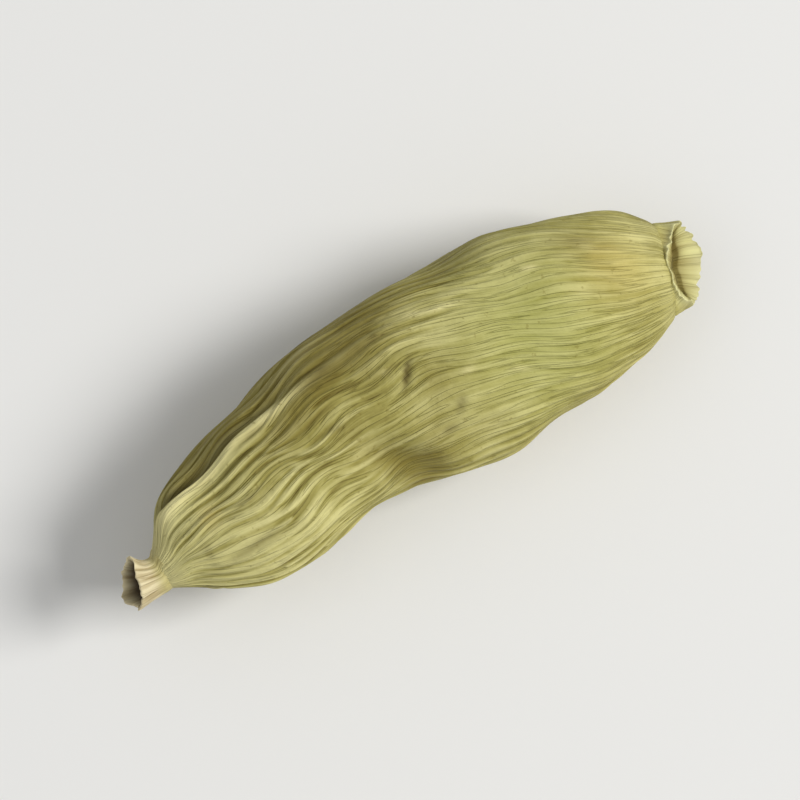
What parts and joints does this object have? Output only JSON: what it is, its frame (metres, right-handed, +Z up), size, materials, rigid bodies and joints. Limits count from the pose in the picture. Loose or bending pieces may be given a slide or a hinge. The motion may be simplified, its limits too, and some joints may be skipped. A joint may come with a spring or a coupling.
{
  "type": "green cardamom pod",
  "caption": "Dried green cardamom pod with a ribbed, slightly bent husk, a hollow stalk stub at one end and the withered flower at the other; lies on its side.",
  "frame": {"origin": "on the surface that the pod rests on, under the middle of its bounding box", "axes": "+X along the pod from the stalk end to the flower end, +Z up from the resting surface"},
  "size_m": [0.0208, 0.0064, 0.0056],
  "materials": {
    "husk": "dry, matt, finely ribbed plant husk, olive green going to straw on the rib crests",
    "stalk_stub": "dry, pale cream plant stalk with a dark brown hollow",
    "withered_flower": "dry, pale straw, papery and crinkled"
  },
  "bodies": {
    "root": {"husk": "husk", "stalk_stub": "stalk_stub", "withered_flower": "withered_flower"}
  },
  "joints": []
}
